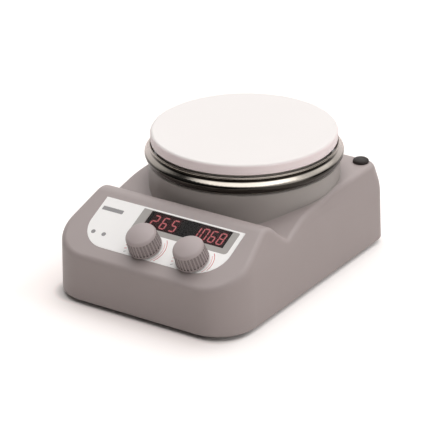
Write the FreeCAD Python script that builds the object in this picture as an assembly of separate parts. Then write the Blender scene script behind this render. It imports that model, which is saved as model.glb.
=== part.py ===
# Compact hotplate magnetic stirrer, modelled as separate pieces.
# Units are millimetres. +Z is up, the control panel faces -Y and +X is its right-hand side.
# Sizes are laid out from the middle of the housing; save() moves every piece so that the
# origin is on the table, under the middle of the overall length.
import FreeCAD, Part
import math
import os

Vector = FreeCAD.Vector

# ---------------------------------------------------------------- main dimensions
# housing
body_half_w = 79.0          # half width at the bottom edge
body_front_y = -103.5
body_rear_y = 103.5
body_edge_z = 3.0           # lower edge of the housing above the table
front_corner_r = 30.0
rear_corner_r = 11.0
wall_t = 3.0
rear_wall_in_y = 98.0       # inner face of the thick rear wall
bend_z = 45.5               # height where the side walls start to lean in
bend_half_w = 77.6
bend_r = 34.0               # rounding of that change of slope
side_lean = 0.38            # inward run of the side walls per mm of height
tub_top_z = 70.0
rim_r = 5.0                 # rounding between the top faces and the walls
lower_edge_r = 1.2
deck_y, deck_z = 42.0, 61.0  # front end and height of the level rear deck

# round neck under the plate
plate_y = 34.0              # centre of plate, neck and motor
neck_r = 69.4
neck_top_z = 74.0
neck_flat_y = 101.5
neck_hole_r = 48.0

# plate, skirt and the sheet under the plate
plate_r = 67.5
plate_z0, plate_z1 = 88.0, 96.0
skirt_r = 71.9
shield_z0, shield_z1 = 77.4, 78.4

# control panel: s is measured up its slope, h is the height off its face
panel_angle = math.radians(25.7)
panel_ref_y, panel_ref_z = -53.8, 61.8   # a point of the panel plane
panel_start_y = -102.0                   # where s = 0
label_half_w = 58.4
label_s0, label_s1 = 10.1, 53.3
label_corner_r = 22.0
overlay_h0, overlay_h1 = -0.3, 0.12
window_x0, window_x1 = -18.2, 49.5
window_s0, window_s1 = 36.5, 51.7
heat_knob_x, speed_knob_x = -4.9, 34.5
knob_places = [("heat", heat_knob_x), ("speed", speed_knob_x)]
knob_s = 20.6
control_board_h0, control_board_h1 = -14.0, -12.4
control_boss_places = [(-54.0, 13.0), (54.0, 13.0), (-54.0, 49.0), (54.0, 49.0)]  # x, s

# base and housing bosses
base_z0, base_z1 = 3.4, 4.9
boss_places = [(-69.0, -58.0), (69.0, -58.0), (-69.0, 84.0), (69.0, 84.0)]

# support rod hole on the rear deck
rod_x, rod_y = 62.0, 94.2

# rear panel: sockets and switch sit on the floor of a shallow recess
recess_y = 101.0
flange_y = recess_y + 1.9   # outer face of the socket flanges
socket_z = 25.0
inlet_x, rocker_x, probe_x = -36.0, 14.0, 43.0
inlet_screw_xs = [inlet_x - 20.0, inlet_x + 20.0]
rear_cut_y0, rear_cut_y1 = 90.0, 110.0   # cuts through the rear wall

# the skirt stands a little past the rear wall, so the middle of the overall
# length lies this far behind the middle of the housing
origin_y = (plate_y + skirt_r + body_front_y) / 2


# ---------------------------------------------------------------- helpers
os.makedirs("parts", exist_ok=True)


def save(name, shape):
    """Write one piece as a STEP file, moved to the final origin."""
    if shape.ShapeType == "Compound" and len(shape.Solids) == 1:
        shape = shape.Solids[0]
    shape = shape.copy()
    shape.translate(Vector(0, -origin_y, 0))
    shape.exportStep("parts/%s.step" % name)


def group(shapes):
    return Part.makeCompound([solid for shape in shapes for solid in shape.Solids])


def box(x0, x1, y0, y1, z0, z1):
    return Part.makeBox(x1 - x0, y1 - y0, z1 - z0, Vector(x0, y0, z0))


def cylinder(x, y, z0, z1, radius):
    return Part.makeCylinder(radius, z1 - z0, Vector(x, y, z0))


def cylinder_x(y, z, x0, x1, radius):
    return Part.makeCylinder(radius, x1 - x0, Vector(x0, y, z), Vector(1, 0, 0))


def cylinder_y(x, z, y0, y1, radius):
    return Part.makeCylinder(radius, y1 - y0, Vector(x, y0, z), Vector(0, 1, 0))


def tube(x, y, z0, z1, outer_r, inner_r):
    return cylinder(x, y, z0, z1, outer_r).cut(cylinder(x, y, z0 - 1, z1 + 1, inner_r))


def disc(z0, z1, radius):
    """Cylinder on the plate axis."""
    return cylinder(0, plate_y, z0, z1, radius)


def ring(z0, z1, outer_r, inner_r):
    """Tube on the plate axis."""
    return tube(0, plate_y, z0, z1, outer_r, inner_r)


def around_plate_axis(radius, angles):
    return [(radius * math.cos(math.radians(a)), plate_y + radius * math.sin(math.radians(a)))
            for a in angles]


def drill(shape, places, radius, z0=0.0, z1=100.0):
    """Cut an upright hole at each (x, y); the default heights go right through."""
    for x, y in places:
        shape = shape.cut(cylinder(x, y, z0, z1, radius))
    return shape


def polygon_face(points):
    return Part.Face(Part.makePolygon(points + [points[0]]))


def full_turn(face, x=0.0, y=0.0):
    """Revolve a face in the XZ plane about Z, then move its axis to (x, y)."""
    solid = face.revolve(Vector(0, 0, 0), Vector(0, 0, 1), 360)
    solid.translate(Vector(x, y, 0))
    return solid


def revolve(points, x=0.0, y=0.0):
    """Full turn of a closed (radius, z) polygon about a vertical axis."""
    return full_turn(polygon_face([Vector(r, 0, z) for r, z in points]), x, y)


def hexagon(radius):
    return [(radius * math.cos(math.radians(60 * k)), radius * math.sin(math.radians(60 * k)))
            for k in range(6)]


def pipe(points, radius):
    """Round wire through a list of points, with a smooth centre line."""
    points = [Vector(*p) for p in points]
    curve = Part.BSplineCurve()
    curve.interpolate(points)
    direction = curve.tangent(curve.FirstParameter)[0]
    section = Part.Wire(Part.makeCircle(radius, points[0], direction))
    return Part.Wire(curve.toShape()).makePipeShell([section], True, True)


def top_edges(shape, top_z):
    return [e for e in shape.Edges if e.BoundBox.ZMin > top_z - 0.05]


def edges_along_y(shape, length):
    return [e for e in shape.Edges
            if abs(e.BoundBox.YLength - length) < 0.01 and e.BoundBox.XLength < 0.01]


def quarter_arc(x, y, radius, start, z):
    """Quarter circle from angle start: its edge, first point and last point."""
    first, middle, last = [
        Vector(x + radius * math.cos(a), y + radius * math.sin(a), z)
        for a in (start, start + math.pi / 4, start + math.pi / 2)]
    return Part.Arc(first, middle, last).toShape(), first, last


def rounded_rect_wire(half_w, y0, y1, front_r, rear_r, z):
    """Footprint with its own radius at the two front and the two rear corners."""
    corners = [(half_w - front_r, y0 + front_r, front_r), (half_w - rear_r, y1 - rear_r, rear_r),
               (-half_w + rear_r, y1 - rear_r, rear_r), (-half_w + front_r, y0 + front_r, front_r)]
    arcs = [quarter_arc(x, y, radius, (k - 1) * math.pi / 2, z)
            for k, (x, y, radius) in enumerate(corners)]
    edges = []
    for (arc, _, last), (_, next_first, _) in zip(arcs, arcs[1:] + arcs[:1]):
        edges += [arc, Part.makeLine(last, next_first)]
    return Part.Wire(edges)


def screw_up(x, y, head_z, length, radius=1.5, head_r=2.8, head_h=1.2):
    """Pan head below, shank pointing up from head_z, cross recess in the head."""
    tip = 0.4
    bottom_z = head_z - head_h
    screw = revolve([(0, bottom_z), (head_r * 0.8, bottom_z), (head_r, head_z - head_h * 0.5),
                     (head_r, head_z), (radius, head_z), (radius, head_z + length - tip),
                     (radius - tip, head_z + length), (0, head_z + length)])
    slot_l, slot_w = head_r * 0.6, 0.3
    for half_x, half_y in ((slot_l, slot_w), (slot_w, slot_l)):
        screw = screw.cut(box(-half_x, half_x, -half_y, half_y, bottom_z - 1, bottom_z + 0.6))
    screw.translate(Vector(x, y, 0))
    return screw


def screw_down(x, y, head_z, length):
    screw = screw_up(0, 0, 0, length, head_h=1.8)
    screw.rotate(Vector(0, 0, 0), Vector(1, 0, 0), 180)
    screw.translate(Vector(x, y, head_z))
    return screw


# panel frame
panel_slope = math.tan(panel_angle)
panel_up = Vector(0, math.cos(panel_angle), math.sin(panel_angle))
panel_normal = Vector(0, -math.sin(panel_angle), math.cos(panel_angle))


def panel_z(y):
    return panel_ref_z + (y - panel_ref_y) * panel_slope


panel_origin = Vector(0, panel_start_y, panel_z(panel_start_y))
# carries (x, s, h) to (x, y, z)
panel_matrix = FreeCAD.Matrix(1, 0, 0, panel_origin.x,
                              0, panel_up.y, panel_normal.y, panel_origin.y,
                              0, panel_up.z, panel_normal.z, panel_origin.z,
                              0, 0, 0, 1)


def on_panel(shape):
    return shape.transformed(panel_matrix, True)


def panel_cylinder(x, s, h0, h1, radius):
    return on_panel(cylinder(x, s, h0, h1, radius))


def panel_box(x0, x1, s0, s1, h0, h1):
    return on_panel(box(x0, x1, s0, s1, h0, h1))


def label_shape(grow, h0, h1):
    """Overlay outline: square top corners, large round lower corners."""
    half_w = label_half_w + grow
    s0, s1 = label_s0 - grow, label_s1 + grow
    radius = label_corner_r + grow
    right_arc, right_first, right_last = quarter_arc(
        half_w - radius, s0 + radius, radius, -math.pi / 2, h0)
    left_arc, left_first, left_last = quarter_arc(
        -half_w + radius, s0 + radius, radius, math.pi, h0)
    top_right, top_left = Vector(half_w, s1, h0), Vector(-half_w, s1, h0)
    outline = Part.Wire([
        right_arc, Part.makeLine(right_last, top_right), Part.makeLine(top_right, top_left),
        Part.makeLine(top_left, left_first), left_arc, Part.makeLine(left_last, right_first)])
    return on_panel(Part.Face(outline).extrude(Vector(0, 0, h1 - h0)))


# ---------------------------------------------------------------- housing
# side view of the top faces, front to rear: (y, z) of the sharp corner, rounding radius
side_profile = [
    ((-125.0, panel_z(-125.0)), 0),
    ((-42.49, 67.24), 11.7),    # crest above the panel
    ((-26.4, 49.2), 7.0),       # valley in front of the neck
    ((0.0, 57.9), 60.0),        # ramp up to the deck
    ((deck_y, deck_z), 200.0),
    ((125.0, deck_z), 0)]
profile_points = [point for point, _ in side_profile]
profile_radii = [radius for _, radius in side_profile]
# set in by the wall, the crest is tighter and the valley wider
inner_profile_radii = list(profile_radii)
inner_profile_radii[1] -= wall_t
inner_profile_radii[2] += wall_t
slab_half_w = 90.0          # wider than the housing

post_places = around_plate_axis(54.0, [-90.0, 30.0, 150.0])


def offset_polyline(points, distance):
    """Shift an open (y, z) polyline down, measured square to each run."""
    runs = []
    for (y0, z0), (y1, z1) in zip(points[:-1], points[1:]):
        length = math.hypot(y1 - y0, z1 - z0)
        normal_y, normal_z = -(z1 - z0) / length, (y1 - y0) / length
        runs.append(((y0 - normal_y * distance, z0 - normal_z * distance), (y1 - y0, z1 - z0)))
    shifted = [runs[0][0]]
    for (start, along), (next_start, next_along) in zip(runs[:-1], runs[1:]):
        # the new corner is where two neighbouring runs cross
        gap = (next_start[0] - start[0], next_start[1] - start[1])
        det = next_along[0] * along[1] - along[0] * next_along[1]
        t = (next_along[0] * gap[1] - gap[0] * next_along[1]) / det
        shifted.append((start[0] + t * along[0], start[1] + t * along[1]))
    start, along = runs[-1]
    shifted.append((start[0] + along[0], start[1] + along[1]))
    return shifted


def profile_solid(points, radii, low_z):
    """Slab across the housing, below a side profile with rounded corners."""
    corners = [Vector(-slab_half_w, y, z) for y, z in points]
    edges = []
    previous = corners[0]
    for before, corner, after, radius in zip(corners, corners[1:], corners[2:], radii[1:]):
        back = (before - corner).normalize()
        ahead = (after - corner).normalize()
        half_angle = math.acos(max(-1, min(1, back.dot(ahead)))) / 2
        tangent_l = radius / math.tan(half_angle)
        arc_start = corner + back * tangent_l
        arc_end = corner + ahead * tangent_l
        arc_middle = corner + (back + ahead).normalize() * (radius / math.sin(half_angle) - radius)
        edges.append(Part.makeLine(previous, arc_start))
        edges.append(Part.Arc(arc_start, arc_middle, arc_end).toShape())
        previous = arc_end
    first, last = corners[0], corners[-1]
    low_last, low_first = Vector(last.x, last.y, low_z), Vector(first.x, first.y, low_z)
    chain = [previous, last, low_last, low_first, first]
    edges += [Part.makeLine(a, b) for a, b in zip(chain[:-1], chain[1:])]
    return Part.Face(Part.Wire(edges)).extrude(Vector(2 * slab_half_w, 0, 0))


def wall_runs(inset, bottom_z):
    """Right wall seen from the front, as straight, rounded bend, straight.

    Each run is the (x, z) poles and the weights of a line or an exact arc."""
    lower_lean = (body_half_w - bend_half_w) / (bend_z - body_edge_z)
    lower_angle, upper_angle = math.atan(lower_lean), math.atan(side_lean)
    half_turn = (upper_angle - lower_angle) / 2
    tangent_l = bend_r * math.tan(half_turn)
    arc_z0 = bend_z - tangent_l * math.cos(lower_angle)
    arc_z1 = bend_z + tangent_l * math.cos(upper_angle)

    def lower_point(z):
        return body_half_w - lower_lean * (z - body_edge_z) - inset, z

    def upper_point(z):
        return bend_half_w - side_lean * (z - bend_z) - inset, z

    return [([lower_point(bottom_z), lower_point(arc_z0)], [1.0, 1.0]),
            ([lower_point(arc_z0), (bend_half_w - inset, bend_z), upper_point(arc_z1)],
             [1.0, math.cos(half_turn), 1.0]),
            ([upper_point(arc_z1), upper_point(tub_top_z)], [1.0, 1.0])]


def nurbs_edge(poles, weights):
    """Line or arc as a single Bezier span."""
    count = len(poles)
    curve = Part.BSplineCurve()
    curve.buildFromPolesMultsKnots(
        poles, [count, count], [0.0, 1.0], False, count - 1, weights)
    return curve.toShape()


def corner_patch(run, radius, center_y, start):
    """Wall run carried along a quarter circle of a fixed radius, without turning."""
    run_poles, run_weights = run
    middle = start + math.pi / 4
    cos_45 = math.cos(math.pi / 4)
    arc_poles = [(radius * math.cos(start), radius * math.sin(start)),
                 (radius / cos_45 * math.cos(middle), radius / cos_45 * math.sin(middle)),
                 (radius * math.cos(start + math.pi / 2), radius * math.sin(start + math.pi / 2))]
    poles = [[Vector(x - radius + arc_x, center_y + arc_y, z) for arc_x, arc_y in arc_poles]
             for x, z in run_poles]
    weights = [[w, w * cos_45, w] for w in run_weights]
    count = len(run_poles)
    surface = Part.BSplineSurface()
    surface.buildFromPolesMultsKnots(poles, [count, count], [3, 3], [0.0, 1.0], [0.0, 1.0],
                                     False, False, count - 1, 2, weights)
    return surface.toShape()


def tub(inset, rear_y, bottom_z):
    """Solid with leaning side walls and upright front and rear, set in all round."""
    front_r, rear_r = front_corner_r - inset, rear_corner_r - inset
    front_y = body_front_y + inset
    side_y0, side_y1 = front_y + front_r, rear_y - rear_r
    runs = wall_runs(inset, bottom_z)
    bottom_x = runs[0][0][0][0]
    top_x = runs[-1][0][-1][0]

    right_faces = []
    for poles, weights in runs:
        edge = nurbs_edge([Vector(x, side_y0, z) for x, z in poles], weights)
        right_faces.append(edge.extrude(Vector(0, side_y1 - side_y0, 0)).Faces[0])
    for run in runs:
        right_faces.append(corner_patch(run, front_r, side_y0, -math.pi / 2))
        right_faces.append(corner_patch(run, rear_r, side_y1, 0.0))
    faces = right_faces + [f.mirror(Vector(0, 0, 0), Vector(1, 0, 0)) for f in right_faces]

    # front and rear faces
    for radius, y in ((front_r, front_y), (rear_r, rear_y)):
        right, left = [
            [nurbs_edge([Vector(side * (x - radius), y, z) for x, z in poles], weights)
             for poles, weights in runs] for side in (1, -1)]
        top_end, bottom_end = top_x - radius, bottom_x - radius
        top = Part.makeLine(Vector(top_end, y, tub_top_z), Vector(-top_end, y, tub_top_z))
        bottom = Part.makeLine(Vector(-bottom_end, y, bottom_z), Vector(bottom_end, y, bottom_z))
        faces.append(Part.Face(Part.Wire(right + [top] + left[::-1] + [bottom])))
    # bottom and top faces
    for z, half_w in ((bottom_z, bottom_x), (tub_top_z, top_x)):
        faces.append(Part.Face(rounded_rect_wire(half_w, front_y, rear_y, front_r, rear_r, z)))

    shell = Part.makeShell(faces)
    shell.sewShape()
    solid = Part.makeSolid(shell)
    if solid.Volume < 0:
        solid.reverse()
    return solid


def top_rim_edges(shape):
    """Edges where the upward faces meet the walls."""
    rim = []
    for edge in shape.Edges:
        faces = shape.ancestorsOfType(edge, Part.Face)
        if edge.BoundBox.ZMax < 30 or len(faces) != 2:
            continue
        middle = edge.valueAt(0.5 * (edge.FirstParameter + edge.LastParameter))
        upward = [abs(f.normalAt(*f.Surface.parameter(middle)).z) for f in faces]
        if max(upward) > 0.55 and min(upward) < 0.52:
            rim.append(edge)
    return rim


def fillet_first_valid(shape, edges, radii):
    """Use the first radius that gives one valid solid; keep the shape if none does."""
    for radius in radii:
        try:
            rounded = shape.makeFillet(radius, edges)
        except Exception:
            # guards against a radius the fillet cannot carry round the corners
            continue
        if rounded.isValid() and len(rounded.Solids) == 1:
            return rounded.Solids[0]
    return shape


def outer_body():
    body = tub(0.0, body_rear_y, body_edge_z).common(
        profile_solid(profile_points, profile_radii, -5.0)).Solids[0]
    body = fillet_first_valid(body, top_rim_edges(body), (rim_r, 4.5, 4.0, 3.0, 2.0))
    low_edges = [e for e in body.Edges if e.BoundBox.ZMax < body_edge_z + 0.01]
    body = fillet_first_valid(body, low_edges, (lower_edge_r,))
    # neck, cut flat at the rear
    neck = disc(30.0, neck_top_z, neck_r).common(box(-90, 90, -90, neck_flat_y, 0, 120))
    neck = neck.makeFillet(1.0, top_edges(neck, neck_top_z))
    return body.fuse(neck).removeSplitter()


def inner_hollow():
    """Space inside the housing, less the bosses that stay solid."""
    hollow = tub(wall_t, rear_wall_in_y, body_edge_z - 2.0).common(
        profile_solid(offset_polyline(profile_points, wall_t), inner_profile_radii, -8.0))
    hollow = hollow.fuse(disc(40.0, neck_top_z - 3.0, neck_r - wall_t).common(
        box(-90, 90, -90, rear_wall_in_y, 0, 120)))
    hollow = drill(hollow, boss_places, 5.0, base_z1, 80.0)
    for x, s in control_boss_places:
        hollow = hollow.cut(panel_cylinder(x, s, control_board_h1, 0.0, 3.4))
    # body round the rod socket
    return drill(hollow, [(rod_x, rod_y)], 8.0, 30.0, 80.0)


def top_openings():
    """Screw holes of the bosses and the openings in the neck, panel and deck."""
    cuts = [disc(neck_top_z - 5, neck_top_z + 2, neck_hole_r)]
    cuts += [cylinder(x, y, base_z1 - 1, 16.0, 1.6) for x, y in boss_places]
    cuts += [panel_cylinder(x, s, -13.0, -4.0, 1.6) for x, s in control_boss_places]
    gap = 0.15
    cuts.append(panel_box(window_x0 - gap, window_x1 + gap, window_s0 - gap, window_s1 + gap,
                          -8, 4))
    cuts += [panel_cylinder(x, knob_s, -8, 4, 3.65) for _, x in knob_places]
    cuts.append(cylinder(rod_x, rod_y, 36.0, 70.0, 4.6))
    cuts += [cylinder(x, y, neck_top_z - 6, neck_top_z + 2, 2.3) for x, y in post_places]
    # shallow bed for the overlay
    cuts.append(label_shape(0.12, overlay_h0, 3.0))
    return cuts


def rear_openings():
    """Recessed field, socket and switch openings and a row of slots above them."""
    y0, y1 = rear_cut_y0, rear_cut_y1
    recess_cut_l = 8.0
    recess = box(-64, 62, recess_y, recess_y + recess_cut_l, 9.0, 41.0)
    cuts = [recess.makeFillet(3.0, edges_along_y(recess, recess_cut_l))]
    cuts.append(box(inlet_x - 13.8, inlet_x + 13.8, y0, y1, socket_z - 10.1, socket_z + 10.1))
    cuts += [cylinder_y(x, socket_z, y0, y1, 1.6) for x in inlet_screw_xs]
    cuts.append(box(rocker_x - 8.2, rocker_x + 8.2, y0, y1, socket_z - 10.6, socket_z + 10.6))
    cuts.append(cylinder_y(probe_x, socket_z, y0, y1, 6.2))
    for k in range(7):
        slot_x = -45 + k * 15
        cuts.append(box(slot_x - 4.5, slot_x + 4.5, 92, y1, 46.5, 48.7))
    return cuts


def upper_housing():
    housing = outer_body().cut(inner_hollow())
    for opening in top_openings() + rear_openings():
        housing = housing.cut(opening)
    return max(housing.Solids, key=lambda solid: solid.Volume)


save("upper_housing", upper_housing())

# ---------------------------------------------------------------- base
base_gap = 0.5              # between the base and the housing walls
foot_places = [(-56.0, -78.0), (56.0, -78.0), (-62.0, 70.0), (62.0, 70.0)]
standoff_places = [(-38.0, 8.0), (38.0, 8.0), (-38.0, 60.0), (38.0, 60.0)]


def base_plate():
    inset = wall_t + base_gap
    outline = rounded_rect_wire(body_half_w - inset, body_front_y + inset,
                                rear_wall_in_y - base_gap, front_corner_r - inset, 7.8, base_z0)
    base = Part.Face(outline).extrude(Vector(0, 0, base_z1 - base_z0))
    base = drill(base, boss_places, 1.7)
    base = drill(base, foot_places, 2.6)
    base = drill(base, standoff_places, 1.6)
    # slots under the motor
    slot_pitch, slot_w = 8.6, 3.4
    for k in range(8):
        slot_x = -32 + k * slot_pitch
        base = base.cut(box(slot_x, slot_x + slot_w, 22, 46, 0, 10))
    return base


def rubber_foot(x, y):
    """Foot with a groove that grips the base plate."""
    top_z = base_z1 + 2.0
    foot = revolve([(0.01, 0), (6.4, 0), (8.0, 0.9), (8.4, base_z0), (2.5, base_z0),
                    (2.5, base_z1), (3.4, base_z1), (3.1, base_z1 + 0.9), (2.3, top_z),
                    (0.01, top_z)], x, y)
    # a core fills the pin hole left on the axis
    return foot.fuse(cylinder(x, y, 0, top_z, 1.0)).removeSplitter()


save("base_plate", base_plate())
save("rubber_feet", group([rubber_foot(x, y) for x, y in foot_places]))
save("base_screws", group([screw_up(x, y, base_z0, 11.0) for x, y in boss_places]))

# ---------------------------------------------------------------- motor
bracket_half_w = 44.0
bracket_y0, bracket_y1 = 2.0, 66.0
bracket_z0, bracket_z1 = 22.0, 24.0
bracket_t = bracket_z1 - bracket_z0
bracket_flange_h = 8.0
motor_z0, motor_z1 = bracket_z1, 56.0
motor_r = 25.0
motor_bore_r = 23.0
motor_screw_places = around_plate_axis(17.0, (45, 135, 225, 315))
bearing_h = 4.0
bearing_outer_r = 8.0
bearing_inner_r = 3.0
lower_bearing_z = motor_z0 + 3.0
upper_bearing_z = motor_z1 - 2.5 - bearing_h
stator_z0, stator_z1 = 33.0, 46.0
shaft_r = 2.95


def motor_bracket():
    """Plate with an upright flange along its front and rear edges."""
    bracket = box(-bracket_half_w, bracket_half_w, bracket_y0, bracket_y1, bracket_z0, bracket_z1)
    for y in (bracket_y0, bracket_y1 - bracket_t):
        bracket = bracket.fuse(box(-bracket_half_w, bracket_half_w, y, y + bracket_t,
                                   bracket_z1, bracket_z1 + bracket_flange_h))
    bracket = bracket.removeSplitter().cut(disc(0, 60, 9.0))
    bracket = drill(bracket, standoff_places, 1.7)
    return drill(bracket, motor_screw_places, 1.7)


def motor_can():
    can = disc(motor_z0, motor_z1, motor_r)
    can = can.cut(disc(motor_z0 + 3.0, motor_z1 - 2.5, motor_bore_r))
    can = can.cut(disc(motor_z0 - 1, motor_z1 + 1, 4.2))
    # bearing seats
    for z in (lower_bearing_z, upper_bearing_z):
        can = can.fuse(ring(z, z + bearing_h, 10.0, bearing_outer_r))
    # screw bosses
    for x, y in motor_screw_places:
        can = can.fuse(cylinder(x, y, motor_z0 + 3.0, motor_z0 + 7.0, 3.2))
        can = can.cut(cylinder(x, y, motor_z0 - 1, motor_z0 + 6.5, 1.6))
    return can.removeSplitter()


def motor_screws():
    screws = []
    for x, y in standoff_places:
        screws.append(screw_down(x, y, bracket_z1, 7.0))
        screws.append(screw_up(x, y, base_z0, 7.0, head_h=1.0))
    screws += [screw_up(x, y, bracket_z0, 7.5, head_h=1.4) for x, y in motor_screw_places]
    return group(screws)


def turned_about_motor(shape, index):
    """Move one of six equal pieces from the origin to its place round the motor."""
    shape.rotate(Vector(0, 0, 0), Vector(0, 0, 1), 60 * index)
    shape.translate(Vector(0, plate_y, 0))
    return shape


def motor_stator():
    z0, z1 = stator_z0, stator_z1
    pole_face_r = 11.4
    stator = ring(z0, z1, motor_bore_r, 20.0)
    for k in range(6):
        shoe = tube(0, 0, z0, z1, 13.6, pole_face_r).common(box(8, 15, -5.4, 5.4, z0, z1))
        arm = box(11.6, 20.5, -2.6, 2.6, z0, z1).fuse(shoe)
        stator = stator.fuse(turned_about_motor(arm, k))
    return stator.removeSplitter().cut(disc(z0 - 1, z1 + 1, pole_face_r))


def motor_coil(index):
    coil = box(14.2, 19.4, -4.4, 4.4, stator_z0 - 1.7, stator_z1 + 1.7)
    coil = coil.cut(box(14.0, 19.6, -2.65, 2.65, stator_z0 - 0.05, stator_z1 + 0.05))
    outer_edges = [e for e in coil.Edges
                   if e.BoundBox.XLength > 5 and abs(e.BoundBox.YMin) > 4.3]
    return turned_about_motor(coil.makeFillet(1.0, outer_edges), index)


def bearing(z0):
    """Two races joined by a slightly lower web."""
    z1 = z0 + bearing_h
    outer_race_r, inner_race_r = bearing_outer_r - 1.3, bearing_inner_r + 1.1
    outer_race = ring(z0, z1, bearing_outer_r, outer_race_r)
    inner_race = ring(z0, z1, inner_race_r, bearing_inner_r)
    web = ring(z0 + 0.4, z1 - 0.4, outer_race_r, inner_race_r)
    return outer_race.fuse(web).fuse(inner_race).removeSplitter()


def with_shaft_flat(shaft, z0, z1):
    """Cut the flat on the +X side of the shaft."""
    return shaft.cut(box(2.45, 4, plate_y - 4, plate_y + 4, z0, z1))


save("motor_standoffs", group([tube(x, y, base_z1, bracket_z0, 4.0, 1.6)
                               for x, y in standoff_places]))
save("motor_bracket", motor_bracket())
save("motor_can", motor_can())
save("motor_screws", motor_screws())
save("motor_stator", motor_stator())
save("motor_coils", group([motor_coil(k) for k in range(6)]))
save("lower_bearing", bearing(lower_bearing_z))
save("upper_bearing", bearing(upper_bearing_z))
save("motor_shaft", with_shaft_flat(disc(motor_z0 + 0.5, 66.5, shaft_r), 58.0, 70.0))
save("motor_rotor", ring(stator_z0 - 0.5, stator_z1 + 0.5, 10.9, shaft_r))

# ---------------------------------------------------------------- magnet carrier
hub_z0 = 58.0
carrier_z0, carrier_z1 = 62.0, 65.0
magnet_xs = (-22.0, 22.0)
magnet_top_z = 69.6
grub_z = 60.2


def magnet_carrier():
    """Bar on a hub, with a rim round each magnet."""
    def bar_zone(z0, z1):
        return box(-36, 36, plate_y - 13, plate_y + 13, z0, z1)

    bar = disc(carrier_z0, carrier_z1, 34.0).common(bar_zone(carrier_z0, carrier_z1))
    carrier = disc(hub_z0, carrier_z1, 7.0).fuse(bar)
    for x in magnet_xs:
        rim = tube(x, plate_y, carrier_z1, 68.0, 10.8, 9.0)
        carrier = carrier.fuse(rim.common(bar_zone(carrier_z1, 70)))
    carrier = carrier.removeSplitter()
    carrier = carrier.cut(with_shaft_flat(disc(50, 80, shaft_r), 50.0, 80.0))
    return carrier.cut(cylinder_x(plate_y, grub_z, 2.0, 9.0, 1.25))


def drive_magnet(x):
    magnet = cylinder(x, plate_y, carrier_z1, magnet_top_z, 8.95)
    return magnet.makeFillet(0.6, top_edges(magnet, magnet_top_z))


save("magnet_carrier", magnet_carrier())
save("drive_magnets", group([drive_magnet(x) for x in magnet_xs]))
save("carrier_grub_screw", cylinder_x(plate_y, grub_z, 2.5, 6.9, 1.2).cut(
    cylinder_x(plate_y, grub_z, 5.6, 7.5, 0.6)))

# ---------------------------------------------------------------- hot plate
heater_z0 = plate_z0 - 1.6
lead_hole_places = [(-6.0, plate_y + 42.0), (6.0, plate_y + 42.0)]
rivet_places = around_plate_axis(61.5, range(0, 360, 60))
rivet_r = 1.5
skirt_flange_z0, skirt_flange_z1 = shield_z0 - 1.0, shield_z0

# (radius, z) of the skirt's outer face, from the rolled top rim down
skirt_outer = [
    (67.9, 86.6), (68.45, 86.2), (68.55, 85.6), (68.1, 85.0), (67.75, 84.5), (67.75, 83.9),
    (68.25, 83.15), (69.25, 82.5), (70.35, 81.8), (71.2, 81.0), (71.75, 80.2), (skirt_r, 79.4),
    (71.75, 78.4), (71.4, 77.4), (70.9, 76.5), (70.3, 75.7), (69.7, 75.0), (69.2, 74.45)]
# (radius, z) of its inner face, from the bottom up, with the inward flange
skirt_inner = [
    (68.65, 74.95), (69.2, 75.6), (69.75, skirt_flange_z0), (59.5, skirt_flange_z0),
    (59.5, skirt_flange_z1), (70.5, skirt_flange_z1), (70.9, 78.5), (71.05, 79.4),
    (70.95, 79.9), (70.55, 80.5), (69.85, 81.15), (68.85, 81.8), (67.7, 82.55), (66.95, 83.7),
    (66.95, 84.7), (67.3, 85.5), (67.45, 85.8), (67.3, 86.3)]


def plate_post(x, y):
    post = cylinder(x, y, neck_top_z, shield_z0, 5.0)
    post = post.fuse(cylinder(x, y, shield_z0, plate_z0, 3.5)).removeSplitter()
    return post.cut(cylinder(x, y, neck_top_z - 1, plate_z0 + 1, 2.15))


def plate_screw(x, y):
    head_z = neck_top_z - 3.0
    return screw_up(x, y, head_z, plate_z0 + 4.6 - head_z, radius=2.0, head_r=3.6, head_h=2.0)


def top_plate():
    plate = drill(disc(plate_z0, plate_z1, plate_r), post_places, 2.05,
                  plate_z0 - 1, plate_z0 + 5.2)
    plate = plate.makeFillet(2.0, top_edges(plate, plate_z1))
    # the length test leaves out the screw holes
    lower_rim = [e for e in plate.Edges
                 if e.BoundBox.ZMax < plate_z0 + 0.01 and e.BoundBox.XLength > 100]
    return plate.makeFillet(0.8, lower_rim)


def with_post_and_lead_holes(shape):
    return drill(drill(shape, post_places, 3.6), lead_hole_places, 2.4)


def heat_shield():
    shield = with_post_and_lead_holes(disc(shield_z0, shield_z1, 66.0))
    return drill(shield, rivet_places, rivet_r)


def plate_skirt():
    """Sheet skirt: inner flange, bowed wall turned in below, cove and rolled top rim."""
    outer = [Vector(r, 0, z) for r, z in skirt_outer]
    inner = [Vector(r, 0, z) for r, z in skirt_inner]
    outer_curve = Part.BSplineCurve()
    outer_curve.interpolate(outer)
    chain = [outer[-1]] + inner + [outer[0]]
    edges = [outer_curve.toShape()]
    edges += [Part.makeLine(a, b) for a, b in zip(chain[:-1], chain[1:])]
    skirt = full_turn(Part.Face(Part.Wire(edges)), 0, plate_y)
    return drill(skirt, rivet_places, rivet_r)


def skirt_rivet(x, y):
    head = cylinder(x, y, skirt_flange_z0 - 0.7, skirt_flange_z0, 2.4)
    return cylinder(x, y, skirt_flange_z0, shield_z1, rivet_r).fuse(head).removeSplitter()


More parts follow.
